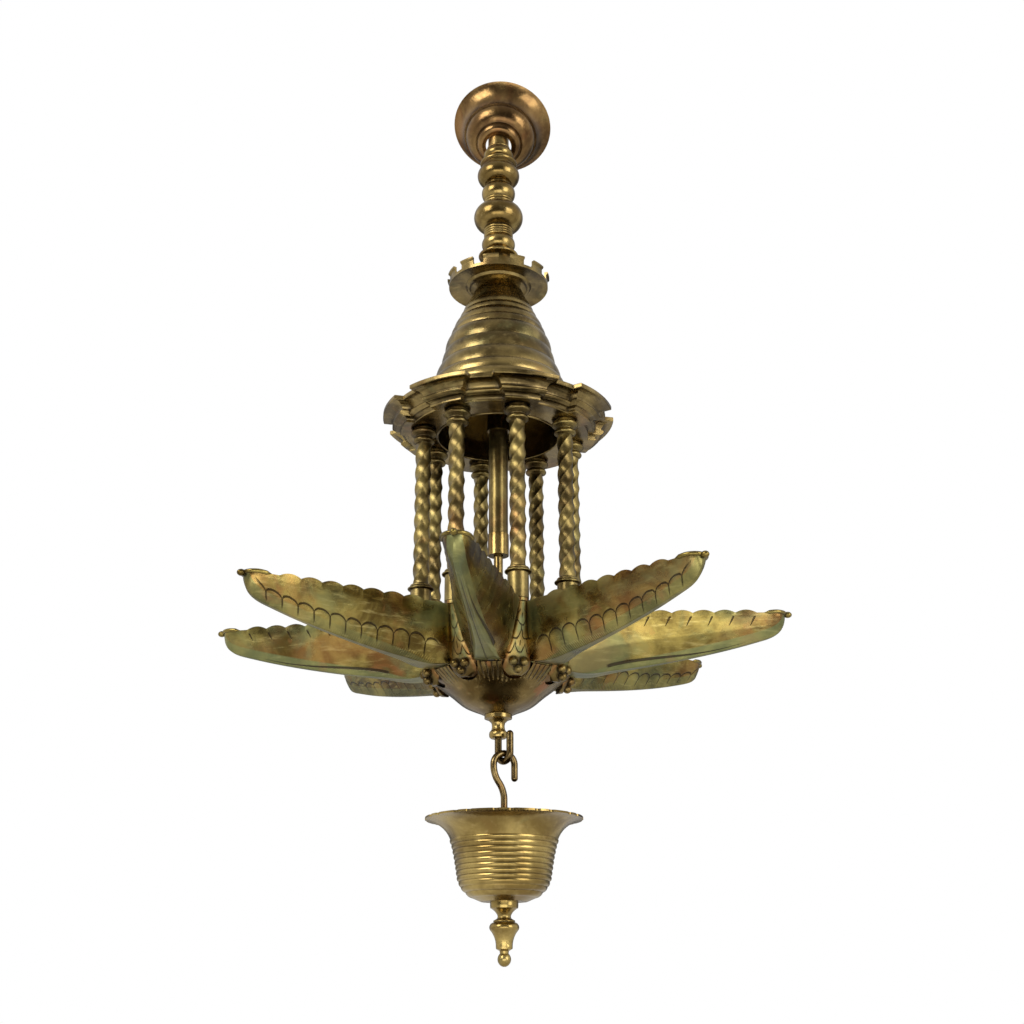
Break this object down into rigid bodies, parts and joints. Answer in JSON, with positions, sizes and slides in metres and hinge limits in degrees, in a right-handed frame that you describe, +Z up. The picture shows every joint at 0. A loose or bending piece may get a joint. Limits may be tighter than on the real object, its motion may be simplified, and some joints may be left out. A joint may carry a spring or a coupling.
{
  "type": "hanging oil lamp",
  "caption": "South Indian brass star lamp: leaf spouts round an oil pan, twisted columns, domed canopy, hanging eye and a hooked drip bowl.",
  "frame": {"origin": "centre of the hanging eye's bore, on the lamp's axis", "axes": "+Z up along the lamp's axis, -Y along the first leaf spout"},
  "size_m": [0.5, 0.5, 0.8381],
  "materials": {
    "aged_brass": "aged",
    "star_brass": "patinated",
    "canopy_brass": "aged",
    "column_brass": "aged",
    "bright_brass": "satin",
    "rose_brass": "tarnished",
    "hook_brass": "aged",
    "rod_brass": "dull",
    "nut_brass": "dull",
    "pan_brass": "dark"
  },
  "bodies": {
    "lamp": {"calyx": "star_brass", "centre_tube": "column_brass", "column_1": "column_brass", "column_2": "column_brass", "column_3": "column_brass", "column_4": "column_brass", "column_5": "column_brass", "column_6": "column_brass", "column_7": "column_brass", "column_8": "column_brass", "column_nuts": "nut_brass", "corner_leaf_1": "star_brass", "corner_leaf_2": "star_brass", "corner_leaf_3": "star_brass", "corner_leaf_4": "star_brass", "corner_leaf_5": "star_brass", "corner_leaf_6": "star_brass", "corner_leaf_7": "star_brass", "corner_leaf_8": "star_brass", "dome": "canopy_brass", "dome_base": "canopy_brass", "gallery_cup": "canopy_brass", "hanging_eye": "aged_brass", "leaf_spout_1": "star_brass", "leaf_spout_2": "star_brass", "leaf_spout_3": "star_brass", "leaf_spout_4": "star_brass", "leaf_spout_5": "star_brass", "leaf_spout_6": "star_brass", "leaf_spout_7": "star_brass", "leaf_spout_8": "star_brass", "moulded_ring": "canopy_brass", "pedestal_1": "column_brass", "pedestal_2": "column_brass", "pedestal_3": "column_brass", "pedestal_4": "column_brass", "pedestal_5": "column_brass", "pedestal_6": "column_brass", "pedestal_7": "column_brass", "pedestal_8": "column_brass", "reservoir": "pan_brass", "rod_nuts": "nut_brass", "socket": "aged_brass", "stem_foot": "aged_brass", "stem_large_knop": "aged_brass", "stem_lower_knop": "aged_brass", "stem_middle_knop": "aged_brass", "stem_neck": "aged_brass", "stem_upper_knop": "aged_brass", "tie_rod": "rod_brass", "tube_collar": "canopy_brass", "tube_ferrule": "aged_brass"},
    "ceiling_rose": {"ceiling_rose": "rose_brass"},
    "pan_hook": {"pan_hook": "hook_brass"},
    "drip_bowl": {"bowl_hook": "hook_brass", "drip_bowl": "bright_brass", "drip_finial": "bright_brass", "hook_nut": "nut_brass"}
  },
  "joints": [
    {"name": "rose_tilt", "type": "hinge", "parent": "lamp", "child": "ceiling_rose", "pos_m": [0.00002, 0.0003, -0.05743], "axis": [-0.9976, 0.0698, 0], "range_deg": [-45, 0]},
    {"name": "pan_swivel", "type": "hinge", "parent": "lamp", "child": "pan_hook", "pos_m": [0, 0, -0.6455], "axis": [0, 0, 1], "continuous": true},
    {"name": "bowl_swing", "type": "hinge", "parent": "pan_hook", "child": "drip_bowl", "pos_m": [0.00544, -0.00441, -0.6679], "axis": [0.4579, -0.889, 0], "range_deg": [-60, 60]}
  ]
}
